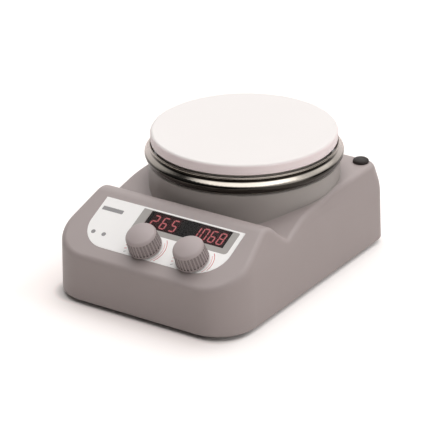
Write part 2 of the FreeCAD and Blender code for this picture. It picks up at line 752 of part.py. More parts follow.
save("plate_posts", group([plate_post(x, y) for x, y in post_places]))
save("plate_screws", group([plate_screw(x, y) for x, y in post_places]))
save("top_plate", top_plate())
save("heater_element", ring(heater_z0, plate_z0, 48.0, 16.0))
save("insulation_disc", with_post_and_lead_holes(ring(shield_z1, heater_z0, 63.0, 7.2)))
save("heat_shield", heat_shield())
save("plate_skirt", plate_skirt())
save("skirt_rivets", group([skirt_rivet(x, y) for x, y in rivet_places]))
save("temperature_sensor", disc(79.2, plate_z0, 4.0).fuse(
    disc(plate_z0 - 1.4, plate_z0, 6.5)).removeSplitter())

# ---------------------------------------------------------------- panel and display
display_top_h = -1.45
digit_w, digit_h = 5.0, 10.6
digit_s = 44.6              # middle of the figures
segment_w = 0.9
segment_t = 0.15
segment_end_gap = 0.168
digit_slant = math.tan(math.radians(2))
# bars of each figure: a top, b and c right, d bottom, e and f left, g middle
lit_segments = {"0": "abcdef", "1": "bc", "2": "abged", "5": "afgcd", "6": "afgedc",
                "8": "abcdefg"}
# text, right edge of the last figure, pitch
readouts = [("265", 6.25, 8.15), ("1068", 45.8, 7.05)]


def front_overlay():
    overlay = label_shape(0.0, overlay_h0, overlay_h1)
    overlay = overlay.cut(panel_box(window_x0, window_x1, window_s0, window_s1, -2, 2))
    for _, x in knob_places:
        overlay = overlay.cut(panel_cylinder(x, knob_s, -2, 2, 3.7))
    return overlay


def display_window():
    gap = 0.05
    return panel_box(window_x0 + gap, window_x1 - gap, window_s0 + gap, window_s1 - gap,
                     -1.2, overlay_h1)


def control_board():
    board = panel_box(-60.0, 60.0, 8.0, 54.0, control_board_h0, control_board_h1)
    for x, s in control_boss_places:
        board = board.cut(panel_cylinder(x, s, -20, 0, 1.7))
    for _, x in knob_places:
        board = board.cut(panel_cylinder(x, knob_s, -20, 0, 2.0))
    return board


def display_module(x0, x1):
    return panel_box(x0, x1, window_s0 + 0.4, window_s1 - 0.4, control_board_h1, display_top_h)


def segment_outline(name):
    """Slanted (x, s) corners of one pointed bar, from the middle of its figure."""
    half_t = segment_w / 2
    w, h = digit_w / 2 - half_t, digit_h / 2 - half_t
    (x0, y0), (x1, y1) = {
        "a": ((-w, h), (w, h)), "b": ((w, h), (w, 0)), "c": ((w, 0), (w, -h)),
        "d": ((-w, -h), (w, -h)), "e": ((-w, 0), (-w, -h)), "f": ((-w, h), (-w, 0)),
        "g": ((-w, 0), (w, 0))}[name]
    length = math.hypot(x1 - x0, y1 - y0)
    ux, uy = (x1 - x0) / length, (y1 - y0) / length
    near, shoulder = segment_end_gap, segment_end_gap + half_t
    # distance along the bar, distance across it
    corners = [(near, 0), (shoulder, half_t), (length - shoulder, half_t),
               (length - near, 0), (length - shoulder, -half_t), (shoulder, -half_t)]
    points = [(x0 + ux * along - uy * across, y0 + uy * along + ux * across)
              for along, across in corners]
    return [(x + y * digit_slant, y) for x, y in points]


def digit_segments():
    segments = []
    for text, right_x, pitch in readouts:
        for i, figure in enumerate(text):
            x_mid = right_x - digit_w / 2 - (len(text) - 1 - i) * pitch
            for name in lit_segments[figure]:
                points = [Vector(x_mid + x, digit_s + y, display_top_h)
                          for x, y in segment_outline(name)]
                segments.append(on_panel(polygon_face(points).extrude(Vector(0, 0, segment_t))))
    return group(segments)


save("front_overlay", front_overlay())
save("display_window", display_window())
save("control_board", control_board())
save("display_module", group([display_module(-17.6, 12.2), display_module(13.0, 49.0)]))
save("digit_segments", digit_segments())

# ---------------------------------------------------------------- encoders and knobs
knob_r = 12.0
knob_h = 15.8
knob_bottom_h = 1.1
knob_flutes = 30
knob_cap_r, knob_cap_h = knob_r - 3.5, 14.6   # edge of the domed cap
encoder_top_h = -5.4
shaft_flat_s = 1.6          # flat of the encoder shaft, from its axis


def encoder(x):
    body = panel_box(x - 6.2, x + 6.2, knob_s - 6.6, knob_s + 6.6,
                     control_board_h1, encoder_top_h)
    body = body.fuse(panel_cylinder(x, knob_s, encoder_top_h, 1.6, 3.5)).removeSplitter()
    return body.cut(panel_cylinder(x, knob_s, -11.4, 3, 3.05))


def encoder_nut(x):
    corners = [Vector(x + a, knob_s + b, overlay_h1) for a, b in hexagon(5.2)]
    return on_panel(polygon_face(corners).extrude(Vector(0, 0, 1.4))).cut(
        panel_cylinder(x, knob_s, -2, 6, 3.55))


def encoder_shaft(x):
    flat = panel_box(x - 4, x + 4, knob_s + shaft_flat_s, knob_s + 4, 3.0, 12.0)
    return panel_cylinder(x, knob_s, -8.95, 11.0, 3.0).cut(flat)


def knob_blank():
    """Turned body: slightly tapered skirt, round shoulder and domed cap."""
    side = [Vector(r, 0, z) for r, z in (
        (0, knob_bottom_h), (knob_r, knob_bottom_h), (knob_r, 1.9), (knob_r - 0.15, 2.1),
        (knob_r - 0.8, 11.8))]
    cap_edge, cap_top = Vector(knob_cap_r, 0, knob_cap_h), Vector(0, 0, knob_h)
    cap_rise = knob_h - knob_cap_h
    dome_r = (knob_cap_r ** 2 + cap_rise ** 2) / (2 * cap_rise)
    middle_r = 4.4
    cap_middle = Vector(middle_r, 0, knob_h - dome_r + math.sqrt(dome_r ** 2 - middle_r ** 2))
    edges = [Part.makeLine(a, b) for a, b in zip(side[:-1], side[1:])]
    edges.append(Part.Arc(side[-1], Vector(knob_r - 1.6, 0, 13.6), cap_edge).toShape())
    edges.append(Part.Arc(cap_edge, cap_middle, cap_top).toShape())
    edges.append(Part.makeLine(cap_top, side[0]))
    return full_turn(Part.Face(Part.Wire(edges)))


def knob(x):
    """Fluted knob with a hollow underside and a D-shaped bore."""
    body = knob_blank()
    low_r, high_r = knob_r + 0.12, knob_r - 0.55
    for i in range(knob_flutes):
        # narrow flutes that die out below the cap
        angle = 2 * math.pi * i / knob_flutes
        low = Vector(low_r * math.cos(angle), low_r * math.sin(angle), 2.4)
        high = Vector(high_r * math.cos(angle), high_r * math.sin(angle), 12.4)
        body = body.cut(Part.makeCylinder(0.82, (high - low).Length, low, high - low))
    body = body.cut(cylinder(0, 0, 0, 3.4, 8.2)).cut(cylinder(0, 0, 3.0, 4.2, 6.0))
    bore = cylinder(0, 0, 0, 11.05, 3.0).cut(box(-4, 4, shaft_flat_s, 4, -1, 12.0))
    body = body.cut(bore.fuse(cylinder(0, 0, 0, 4.2, 3.9)))
    body.translate(Vector(x, knob_s, 0))
    return on_panel(body)


for knob_name, knob_x in knob_places:
    save("%s_encoder" % knob_name, encoder(knob_x))
    # disc at the inner end of the shaft
    save("%s_encoder_plunger" % knob_name, panel_cylinder(knob_x, knob_s, -9.6, -9.0, 2.9))
    save("%s_encoder_shaft" % knob_name, encoder_shaft(knob_x))
    save("%s_knob" % knob_name, knob(knob_x))
save("encoder_nuts", group([encoder_nut(x) for _, x in knob_places]))

# ---------------------------------------------------------------- electronics
board_x0, board_x1 = -62.0, 8.0
board_y0, board_y1 = -76.0, -12.0
board_z0, board_z1 = 13.0, 14.6
board_screw_places = [(x, y) for y in (board_y0 + 5, board_y1 - 5)
                      for x in (board_x0 + 5, board_x1 - 5)]
terminal_xs = [-42.2 + k * 6.6 for k in range(5)]


def board_screws():
    """Screws of the control board and of the power board."""
    screws = []
    for x, s in control_boss_places:
        screw = screw_up(0, 0, control_board_h0, 8.0)
        screw.translate(Vector(x, s, 0))
        screws.append(on_panel(screw))
    screws += [screw_down(x, y, board_z1, 7.0) for x, y in board_screw_places]
    return group(screws)


def transformer():
    top_z = 36.6
    core = box(-56, -26, -62, -36, board_z1, top_z)
    winding = box(-50.5, -31.5, -66, -32, 17.6, 33.6)
    body = core.fuse(winding).removeSplitter()
    return body.makeChamfer(0.8, top_edges(body, top_z))


def capacitor(x, y):
    top_z = 32.0
    can = cylinder(x, y, board_z1, top_z, 5.0)
    return can.makeFillet(0.7, top_edges(can, top_z))


def relay():
    top_z = 29.6
    body = box(-18, 1, -52, -37, board_z1, top_z)
    return body.makeChamfer(0.5, top_edges(body, top_z))


def terminal_block():
    """Block with a screw well and a rear wire entry at each terminal."""
    block = box(-46, -12, -30, -20.5, board_z1, 24.0)
    for x in terminal_xs:
        block = block.cut(cylinder(x, -25.2, 20.0, 26.0, 2.0))
        block = block.cut(box(x - 2.2, x + 2.2, -22.0, -19.0, 16.0, 20.0))
    return block


def heat_sink():
    """Upright plate, foot and fins."""
    x0, x1 = 30, 62
    foot_z1 = base_z1 + 3
    sink = box(x0, x1, -58, -54, base_z1, 34)
    sink = sink.fuse(box(x0, x1, -54, -34, base_z1, foot_z1))
    for k in range(6):
        fin_x = x0 + k * 6.0
        sink = sink.fuse(box(fin_x, fin_x + 2.0, -54, -36, foot_z1, 30))
    return sink.removeSplitter()


save("power_board_spacers", group([tube(x, y, base_z1, board_z0, 3.0, 1.6)
                                   for x, y in board_screw_places]))
save("power_board", drill(box(board_x0, board_x1, board_y0, board_y1, board_z0, board_z1),
                          board_screw_places, 1.7))
save("board_screws", board_screws())
save("transformer", transformer())
save("capacitors", group([capacitor(x, -64.0) for x in (-14.0, -2.0)]))
save("relay", relay())
save("terminal_block", terminal_block())
save("heat_sink", heat_sink())

# ---------------------------------------------------------------- rear sockets
pin_offsets = [(0, 2.6), (-7.0, -1.4), (7.0, -1.4)]   # x, z from the inlet centre
# x, z from the inlet centre: opening with two cut upper corners
inlet_opening = [(-12.0, -8.2), (12.0, -8.2), (12.0, 3.6), (7.6, 8.2), (-7.6, 8.2), (-12.0, 3.6)]
pivot_y = 96.5
rocker_tilt = 10.0
# y, z from the pivot: side view of the rocker
rocker_outline = [(-5.6, -3.5), (-3.0, -8.2), (7.0, -8.2), (5.4, 0.0), (7.0, 8.2), (-3.0, 8.2),
                  (-5.6, 3.5)]


def socket_flange(x, half_w, half_h, corner_r):
    """Rounded plate lying on the floor of the recess."""
    flange = box(x - half_w, x + half_w, recess_y, flange_y, socket_z - half_h, socket_z + half_h)
    return flange.makeFillet(corner_r, edges_along_y(flange, flange_y - recess_y))


def pin_box(offset, y0, y1):
    x, z = inlet_x + offset[0], socket_z + offset[1]
    return box(x - 1.0, x + 1.0, y0, y1, z - 2.0, z + 2.0)


def power_inlet():
    inlet = socket_flange(inlet_x, 25.0, 11.6, 3.0)
    inlet = inlet.fuse(box(inlet_x - 13.6, inlet_x + 13.6, 79.0, recess_y,
                           socket_z - 9.9, socket_z + 9.9))
    opening = [Vector(inlet_x + x, 84.5, socket_z + z) for x, z in inlet_opening]
    inlet = inlet.cut(polygon_face(opening).extrude(Vector(0, 30, 0)))
    for x in inlet_screw_xs:
        inlet = inlet.cut(cylinder_y(x, socket_z, rear_cut_y0, rear_cut_y1, 1.7))
    for offset in pin_offsets:
        inlet = inlet.cut(pin_box(offset, 76, 90))
    return inlet.removeSplitter()


def inlet_pin(offset):
    pin = pin_box(offset, 73.0, 97.5)
    return pin.makeChamfer(0.5, [e for e in pin.Edges if e.BoundBox.YMin > 97.4])


def inlet_screw(x):
    """Head outside, shank pointing into the wall."""
    screw = screw_up(0, 0, 0, 6.5, head_h=1.5)
    screw.rotate(Vector(0, 0, 0), Vector(1, 0, 0), 90)
    screw.translate(Vector(x, flange_y, socket_z))
    return screw


def switch_frame():
    """Frame with a deep opening and a cross hole for the rocker's pivot."""
    frame = socket_flange(rocker_x, 10.0, 12.6, 1.5)
    frame = frame.fuse(box(rocker_x - 8.0, rocker_x + 8.0, 82.0, recess_y,
                           socket_z - 10.4, socket_z + 10.4))
    frame = frame.cut(box(rocker_x - 6.6, rocker_x + 6.6, 88.0, rear_cut_y1,
                          socket_z - 9.2, socket_z + 9.2))
    return frame.cut(cylinder_x(pivot_y, socket_z, rocker_x - 8.6, rocker_x + 8.6,
                                1.55)).removeSplitter()


def power_rocker():
    half_w, pivot_half_l = 6.35, 7.8
    rocker = polygon_face([Vector(-half_w, y, z) for y, z in rocker_outline]).extrude(
        Vector(2 * half_w, 0, 0))
    rocker = rocker.common(cylinder_x(0, 0, -10, 10, 8.9))
    rocker = rocker.fuse(cylinder_x(0, 0, -pivot_half_l, pivot_half_l, 1.5)).removeSplitter()
    rocker.rotate(Vector(0, 0, 0), Vector(1, 0, 0), rocker_tilt)
    rocker.translate(Vector(rocker_x, pivot_y, socket_z))
    return rocker


def probe_socket():
    """Flanged barrel with a core that has five contact holes."""
    def barrel(y0, y1, radius):
        return cylinder_y(probe_x, socket_z, y0, y1, radius)

    socket = barrel(86.0, recess_y, 6.1).fuse(barrel(recess_y, flange_y, 9.0))
    socket = socket.cut(barrel(92.0, 110, 4.9)).fuse(barrel(92.0, 100.4, 3.4))
    for k in range(5):
        angle = math.radians(45 * k)
        socket = socket.cut(cylinder_y(probe_x + 2.1 * math.cos(angle),
                                       socket_z + 2.1 * math.sin(angle), 95, 102, 0.5))
    return socket.removeSplitter()


def probe_socket_nut():
    corners = [Vector(probe_x + x, 95.0, socket_z + z) for x, z in hexagon(9.4)]
    return polygon_face(corners).extrude(Vector(0, 2.9, 0)).cut(
        cylinder_y(probe_x, socket_z, rear_cut_y0, rear_cut_y1, 6.15))


save("power_inlet", power_inlet())
save("inlet_pins", group([inlet_pin(offset) for offset in pin_offsets]))
save("inlet_screws", group([inlet_screw(x) for x in inlet_screw_xs]))
save("switch_frame", switch_frame())
save("power_rocker", power_rocker())
save("probe_socket", probe_socket())
save("probe_socket_nut", probe_socket_nut())

# ---------------------------------------------------------------- rod socket
# (radius, z) of the plug: stem in the socket, domed head on the deck
rod_plug_outline = [
    (0, 50.0), (2.9, 50.0), (3.3, 50.6), (3.3, deck_z), (5.75, deck_z), (5.95, deck_z + 0.4),
    (5.95, deck_z + 1.2), (5.6, deck_z + 2.0), (4.7, deck_z + 2.65), (3.1, deck_z + 3.1),
    (1.5, deck_z + 3.3), (0, deck_z + 3.35)]

save("rod_socket", tube(rod_x, rod_y, 37.0, 59.6, 4.5, 3.6).fuse(
    cylinder(rod_x, rod_y, 36.2, 37.0, 4.5)).removeSplitter())
save("rod_plug", revolve(rod_plug_outline, rod_x, rod_y))


# ---------------------------------------------------------------- wiring
def heater_lead(x, y, end_x):
    """From the heater down through the neck and forward to the terminal block."""
    return pipe([(x, y, plate_z0 - 2.1), (x, y, 80.0), (x * 1.2, y + 1, 72.0),
                 (x * 2.2 - 12, y - 2, 58.0), (-52 + x * 0.3, 62, 40.0),
                 (-56 + x * 0.4, 20, 26.0), (-52 + x * 0.8, -6, 19.0),
                 (end_x, -17.0, 18.0), (end_x, -20.0, 18.0)], 0.9)


def mains_lead(k, offset, end_x):
    """From an inlet pin forward to the terminal block."""
    x, z = inlet_x + offset[0], socket_z + offset[1]
    return pipe([(x, 72.0, z), (x - 1.0, 70.9, z - 0.6), (-53 - 3 * k, 67.0, 19.0),
                 (-58 - 3 * k, 52, 14.0), (-60 - 3 * k, 10, 10.5), (-57 - 3 * k, -4, 12.5),
                 (end_x - 3.0, -14.0, 17.8), (end_x, -18.0, 18.0), (end_x, -20.0, 18.0)], 1.0)


def motor_lead(x):
    """From the front of the motor can down to the power board."""
    start_y = plate_y - math.sqrt(motor_r ** 2 - x * x) - 0.8
    return pipe([(x, start_y, 37.0), (x, 1.5, 37.5), (x, -4.0, 31.0), (x, -9.5, 20.0),
                 (x, -15.0, 16.2), (x, -18.0, 15.5)], 0.8)


def control_lead(x):
    """From the control board down to the power board."""
    start = panel_origin + panel_up * 12.0 + panel_normal * (control_board_h0 - 0.1)
    return pipe([(x, start.y, start.z), (x, start.y + 1.5, start.z - 4.0), (x, -81.0, 21.0),
                 (x, -76.0, 16.6), (x, -71.5, 15.5)], 0.75)


save("heater_leads", group([heater_lead(x, y, end_x)
                            for (x, y), end_x in zip(lead_hole_places, terminal_xs[:2])]))
save("mains_leads", group([mains_lead(k, pin_offsets[k], terminal_xs[3 + k])
                           for k in range(2)]))
save("signal_leads", group([motor_lead(-8.0 + 3.0 * k) for k in range(3)] +
                           [control_lead(-30.0 + 2.4 * k) for k in range(4)]))
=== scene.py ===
# A laboratory hotplate stirrer standing on z = 0. The sloping control panel faces -Y and rises
# towards +Y. The round plate is centred on a vertical axis at x = 0, y = AXIS_Y.
import bpy
import bmesh
import math
from mathutils import Matrix, Vector


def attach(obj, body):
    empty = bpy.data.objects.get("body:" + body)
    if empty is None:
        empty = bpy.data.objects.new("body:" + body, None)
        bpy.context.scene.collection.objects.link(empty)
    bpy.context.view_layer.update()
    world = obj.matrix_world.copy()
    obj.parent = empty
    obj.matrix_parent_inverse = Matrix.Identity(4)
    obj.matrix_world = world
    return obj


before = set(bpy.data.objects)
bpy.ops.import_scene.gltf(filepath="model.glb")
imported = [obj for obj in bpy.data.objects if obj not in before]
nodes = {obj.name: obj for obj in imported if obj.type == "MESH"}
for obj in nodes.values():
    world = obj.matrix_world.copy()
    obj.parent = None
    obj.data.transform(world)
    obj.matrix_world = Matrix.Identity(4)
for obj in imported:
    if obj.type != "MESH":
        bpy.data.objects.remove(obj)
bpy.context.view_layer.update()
scene = bpy.context.scene

MM = 0.001
AXIS_Y = 0.0328                # axis of the plate, skirt and neck, metres


# ------------------------------------------------------------------ colours and shader builder
def srgb(*channels):
    """Linear colour from sRGB channels, 0 to 255."""
    def linear(value):
        value = value / 255.0
        return value / 12.92 if value <= 0.04045 else ((value + 0.055) / 1.055) ** 2.4
    return (*(linear(value) for value in channels), 1.0)


def scaled(color, factor):
    return (*(value * factor for value in color[:3]), 1.0)


class Shader:
    """Builds a node tree; any value may be a constant or the output of another node."""

    def __init__(self, tree, output, coordinates):
        self.tree = tree
        tree.nodes.clear()
        self.out = self.add(output)
        self.coords = self.add("TexCoord").outputs[coordinates]

    def add(self, kind, inputs=None, **properties):
        node = self.tree.nodes.new("ShaderNode" + kind)
        for key, value in properties.items():
            setattr(node, key, value)
        for key, value in (inputs or {}).items():
            self.feed(node.inputs[key], value)
        return node

    def feed(self, socket, value):
        if isinstance(value, bpy.types.NodeSocket):
            self.tree.links.new(value, socket)
        else:
            socket.default_value = value

    def finish(self, node):
        self.feed(self.out.inputs["Surface"], node.outputs[0])

    def mapping(self, scale):
        return self.add("Mapping", {"Scale": scale, "Vector": self.coords}).outputs["Vector"]

    def separate(self, vector=None):
        return self.add("SeparateXYZ", {0: vector or self.coords}).outputs

    def noise(self, scale, detail=3.0, rough=0.5, vector=None):
        return self.add("TexNoise", {"Scale": scale, "Detail": detail, "Roughness": rough,
                                     "Vector": vector or self.coords}).outputs["Fac"]

    def ramp(self, factor, low, high, start=0.3, end=0.7):
        """Grey ramp: low up to start, high from end on."""
        node = self.add("ValToRGB", {"Fac": factor})
        for stop, place, value in zip(node.color_ramp.elements, (start, end), (low, high)):
            stop.position = place
            stop.color = (value, value, value, 1)
        return node.outputs["Color"]

    def calc(self, operation, *values, clamp=False):
        return self.add("Math", dict(enumerate(values)), operation=operation,
                        use_clamp=clamp).outputs[0]

    def mix(self, factor, first, second):
        return self.add("Mix", {0: factor, 6: first, 7: second}, data_type="RGBA").outputs[2]

    def step(self, value, zero_at, one_at, smooth=False):
        """Rises from 0 at zero_at to 1 at one_at, clamped outside."""
        return self.add("MapRange", {"From Min": zero_at, "From Max": one_at, "Value": value},
                        interpolation_type="SMOOTHSTEP" if smooth else "LINEAR").outputs[0]

    def band(self, value, low_zero, low_one, high_one, high_zero):
        """1 between the two inner limits, 0 beyond the outer ones."""
        return self.calc("MULTIPLY", self.step(value, low_zero, low_one),
                         self.step(value, high_zero, high_one))

    def bump(self, height, strength, distance, normal=None):
        inputs = {"Strength": strength, "Distance": distance, "Height": height}
        if normal is not None:
            inputs["Normal"] = normal
        return self.add("Bump", inputs).outputs["Normal"]

    def vary(self, color, amount, scale, speck=0.0, speck_scale=900.0):
        """Colour with a slow drift in tone and, if asked, fine dark specks."""
        drift = self.noise(scale, detail=4.0, rough=0.6)
        base = self.mix(self.ramp(drift, 0.0, 1.0),
                        scaled(color, 1 - amount), scaled(color, 1 + amount))
        if speck:
            spots = self.noise(speck_scale, detail=2.0, rough=0.7)
            spots = self.ramp(spots, 0.0, 1.0, start=0.62, end=0.74)
            base = self.mix(self.calc("MULTIPLY", spots, speck), base, scaled(color, 0.55))
        return base

    def principled(self, **inputs):
        inputs = {key.replace("_", " "): value for key, value in inputs.items()}
        self.finish(self.add("BsdfPrincipled", inputs))


class Material(Shader):
    def __init__(self, name):
        self.material = bpy.data.materials.new(name)
        self.material.use_nodes = True
        super().__init__(self.material.node_tree, "OutputMaterial", "Object")

    def principled(self, **inputs):
        super().principled(**inputs)
        return self.material


# ------------------------------------------------------------------ general materials
def plastic(name, color, rough=0.45, grain=0.12, scale=1400.0, spec=0.45, speck=0.0):
    mat = Material(name)
    return mat.principled(
        Base_Color=mat.vary(color, amount=0.025, scale=30.0, speck=speck, speck_scale=1800.0),
        Roughness=mat.ramp(mat.noise(90.0, detail=4.0, rough=0.6), rough - 0.05, rough + 0.06),
        Normal=mat.bump(mat.noise(scale, rough=0.6), strength=grain, distance=0.00005),
        Specular_IOR_Level=spec)


def metal(name, color, rough, scale, depth, brushed=(1, 1, 1), tint=None):
    """Metal whose streaks run across the axes that brushed scales up; tint stains it in patches."""
    mat = Material(name)
    streak = mat.noise(scale, rough=0.6, vector=mat.mapping(brushed))
    base = mat.mix(mat.ramp(streak, 0.0, 1.0, start=0.25, end=0.75),
                   scaled(color, 0.9), scaled(color, 1.06))
    if tint is not None:
        base = mat.mix(mat.ramp(mat.noise(25.0), 0.0, 0.6, start=0.45, end=0.8), base, tint)
    return mat.principled(
        Base_Color=base, Metallic=1.0,
        Roughness=mat.ramp(streak, max(0.02, rough - 0.06), rough + 0.08, start=0.2, end=0.8),
        Normal=mat.bump(streak, strength=depth, distance=0.00004))


def rubber(name, color, rough):
    mat = Material(name)
    return mat.principled(
        Base_Color=mat.vary(color, amount=0.12, scale=60.0, speck=0.3, speck_scale=1500.0),
        Roughness=mat.ramp(mat.noise(300.0), rough - 0.1, rough + 0.1),
        Normal=mat.bump(mat.noise(2200.0, rough=0.7), strength=0.25, distance=0.00006),
        Specular_IOR_Level=0.4)


def ink(name, color):
    mat = Material(name)
    return mat.principled(
        Base_Color=mat.vary(color, amount=0.03, scale=80.0, speck=0.08, speck_scale=2200.0),
        Roughness=mat.ramp(mat.noise(150.0), 0.4, 0.46),
        Normal=mat.bump(mat.noise(2600.0, detail=2.0), strength=0.06, distance=0.00002),
        Specular_IOR_Level=0.4)


# ------------------------------------------------------------------ outer pieces
def housing_paint():
    """Stoved paint with a light orange peel; the round neck has its own grey."""
    body_grey, neck_grey = srgb(171, 160, 158), srgb(168, 162, 158)
    neck_outside, neck_inside = 0.0704, 0.0694     # radii where the neck's grey ends and is full
    mat = Material("housing_paint")
    drift = dict(amount=0.015, scale=12.0, speck=0.08, speck_scale=1600.0)
    body = mat.vary(body_grey, **drift)
    neck = mat.vary(neck_grey, **drift)
    flat = mat.add("VectorMath", {0: mat.coords, 1: (1, 1, 0)}, operation="MULTIPLY")
    radius = mat.add("VectorMath", {0: flat.outputs[0], 1: (0.0, AXIS_Y, 0.0)},
                     operation="DISTANCE").outputs["Value"]
    base = mat.mix(mat.step(radius, neck_outside, neck_inside), body, neck)
    grain = mat.bump(mat.noise(1500.0, detail=2.0), strength=0.10, distance=0.00003)
    peel = mat.bump(mat.noise(420.0, detail=2.0), strength=0.10, distance=0.00006, normal=grain)
    return mat.principled(
        Base_Color=base,
        Roughness=mat.ramp(mat.noise(60.0, detail=5.0, rough=0.6), 0.38, 0.46),
        Normal=peel, Specular_IOR_Level=0.42)


def knob_plastic():
    """Moulded grey, with painted shade darkening the bottoms of the flutes."""
    mat = Material("knob_plastic")
    base = mat.vary(srgb(177, 165, 164), amount=0.025, scale=30.0)
    # painted shade: occlusion darkens the colour towards the bottoms of the flutes
    hollow = mat.add("AmbientOcclusion", {"Distance": 0.0022}, samples=8, only_local=True)
    painted_flute_shade = mat.ramp(hollow.outputs["AO"], 1.0, 0.0, start=0.58, end=0.95)
    return mat.principled(
        Base_Color=mat.mix(painted_flute_shade, base, (0.060, 0.052, 0.050, 1)),
        Roughness=mat.ramp(mat.noise(90.0, detail=4.0, rough=0.6), 0.38, 0.48),
        Normal=mat.bump(mat.noise(1700.0, rough=0.6), strength=0.08, distance=0.00004),
        Specular_IOR_Level=0.45)


def plate_glaze():
    """White glaze, with painted light: the sides are painted lighter and warmer than the top."""
    mat = Material("plate_glaze")
    top = mat.vary((0.885, 0.850, 0.830, 1), amount=0.006, scale=16.0)
    side = mat.vary((0.985, 0.870, 0.868, 1), amount=0.006, scale=16.0)
    # painted light: the colour follows which way the surface faces, darker on top and lighter on
    # the sides
    facing = mat.separate(mat.add("NewGeometry").outputs["Normal"])["Z"]
    return mat.principled(
        Base_Color=mat.mix(mat.ramp(facing, 0.0, 1.0, start=0.25, end=0.95), side, top),
        Roughness=mat.ramp(mat.noise(14.0), 0.30, 0.36),
        Normal=mat.bump(mat.noise(260.0, detail=2.0), strength=0.03, distance=0.00004),
        Specular_IOR_Level=0.5)


def skirt_chrome():
    """Polished skirt: faint lathe lines round the axis, with dark reflections painted into its
    colour, strongest towards the front.
    """
    # heights where each painted reflection band starts, is full, is full until, and ends; metres
    cove_heights = (0.0828, 0.0834, 0.0850, 0.0857)
    under_heights = (0.0750, 0.0756, 0.0803, 0.0812)
    rim_heights = (0.0856, 0.0860, 0.0890, 0.0900)
    mat = Material("skirt_chrome")

    def blotched(scale, light, dark):
        patches = mat.ramp(mat.noise(scale, detail=4.0), 0.0, 1.0, start=0.35, end=0.75)
        return mat.mix(patches, light, dark)

    lathe = mat.noise(1.0, detail=2.0, vector=mat.mapping((3, 3, 2600)))
    base = blotched(26.0, (0.90, 0.80, 0.75, 1), (0.84, 0.74, 0.69, 1))
    height = mat.calc("ADD", mat.separate()["Z"],
                      mat.ramp(mat.noise(60.0), -0.00012, 0.00012))    # ragged zone edges

    # painted dark reflection: the colour darkens towards the front (-Y, and a little +X)
    place = mat.separate()
    frontness = mat.calc("ADD", mat.calc("MULTIPLY", place["X"], 7.5),
                         mat.calc("MULTIPLY", mat.calc("ADD", place["Y"], -AXIS_Y), -11.5))
    front = mat.step(frontness, 0.02, 0.50, smooth=True)
    wide = mat.step(frontness, -0.20, 0.28, smooth=True)
    cove_dark_reflection = mat.calc("MULTIPLY", mat.band(height, *cove_heights),
                    mat.calc("MULTIPLY", front, 0.97))
    under_dark_reflection = mat.calc("MULTIPLY", mat.band(height, *under_heights),
                     mat.calc("MULTIPLY", wide, 0.95))
    rim_dark_reflection = mat.calc("MULTIPLY", mat.band(height, *rim_heights), 0.45)
    # painted reflections: darker towards the front, a darker rim band, and near black in the cove
    # and on the turned-under part
    base = mat.mix(front, base, blotched(40.0, (0.50, 0.46, 0.41, 1), (0.42, 0.385, 0.34, 1)))
    base = mat.mix(rim_dark_reflection, base, (0.26, 0.23, 0.20, 1))
    base = mat.mix(cove_dark_reflection, base, (0.010, 0.007, 0.004, 1))
    base = mat.mix(under_dark_reflection, base, (0.030, 0.026, 0.022, 1))
    dulling = mat.calc("MULTIPLY", mat.calc("SUBTRACT", 1.0, wide), 0.26)
    return mat.principled(
        Base_Color=base, Metallic=1.0,
        Roughness=mat.calc("ADD", mat.ramp(lathe, 0.10, 0.15), dulling),
        Normal=mat.bump(lathe, strength=0.006, distance=0.000004))


def overlay_film():
    mat = Material("overlay_film")
    return mat.principled(
        Base_Color=mat.vary((0.975, 0.962, 0.945, 1), amount=0.006, scale=30.0),
        Roughness=mat.ramp(mat.noise(120.0, detail=4.0), 0.34, 0.42),
        Normal=mat.bump(mat.noise(2600.0, detail=2.0), strength=0.06, distance=0.00003),
        Specular_IOR_Level=0.4)


# ------------------------------------------------------------------ display
def display_filter():
    """Tinted pane: clear to look through, with a soft surface sheen."""
    mat = Material("display_filter")
    fresnel = mat.add("Fresnel", {"IOR": 1.28}).outputs[0]
    clear = mat.add("BsdfTransparent", {"Color": (0.69, 0.64, 0.64, 1)})
    # a dark, wide sheen: ten times the share at a tenth of the strength
    sheen = mat.add("BsdfGlossy", {
        "Color": (0.10, 0.10, 0.10, 1),
        "Roughness": mat.ramp(mat.noise(40.0, detail=2.0), 0.08, 0.14)})
    # on the outer face only, so the pane stays clear at shallow angles
    backfacing = mat.add("NewGeometry").outputs["Backfacing"]
    share = mat.calc("MULTIPLY", fresnel, mat.calc("SUBTRACT", 1.0, backfacing))
    share = mat.calc("MULTIPLY", share, 10.0, clamp=True)
    mat.finish(mat.add("MixShader", {0: share, 1: clear.outputs[0], 2: sheen.outputs[0]}))
    return mat.material


def display_black():
    """Black module with a dim red glow behind the two groups of digits."""
    digit_groups = ((-0.0155, 0.0070), (0.0230, 0.0465))    # x range of each, metres
    fade_out, fade_in = 0.0012, 0.0006                      # glow's edge either side of a limit
    mat = Material("display_black")
    base = mat.vary((0.012, 0.011, 0.010, 1), amount=0.1, scale=60.0)
    x = mat.separate()["X"]
    halo = mat.calc("ADD", *(
        mat.band(x, low - fade_out, low + fade_in, high - fade_in, high + fade_out)
        for low, high in digit_groups))
    strength = mat.ramp(mat.noise(380.0, detail=2.0), 0.035, 0.06)
    return mat.principled(
        Base_Color=base, Roughness=0.5, Specular_IOR_Level=0.25,
        Emission_Color=(1.0, 0.06, 0.09, 1),
        Emission_Strength=mat.calc("MULTIPLY", halo, strength))


def lit_red():
    mat = Material("lit_red")
    glow = mat.mix(mat.ramp(mat.noise(700.0, detail=2.0), 0.0, 1.0),
                   (1.0, 0.30, 0.33, 1), (1.0, 0.36, 0.38, 1))
    return mat.principled(Base_Color=(0.25, 0.02, 0.02, 1), Roughness=0.5,
                          Emission_Color=glow, Emission_Strength=1.15)


# ------------------------------------------------------------------ a material for every piece
looks = {}


def dress(pieces, material):
    looks.update(dict.fromkeys(pieces.split(), material))


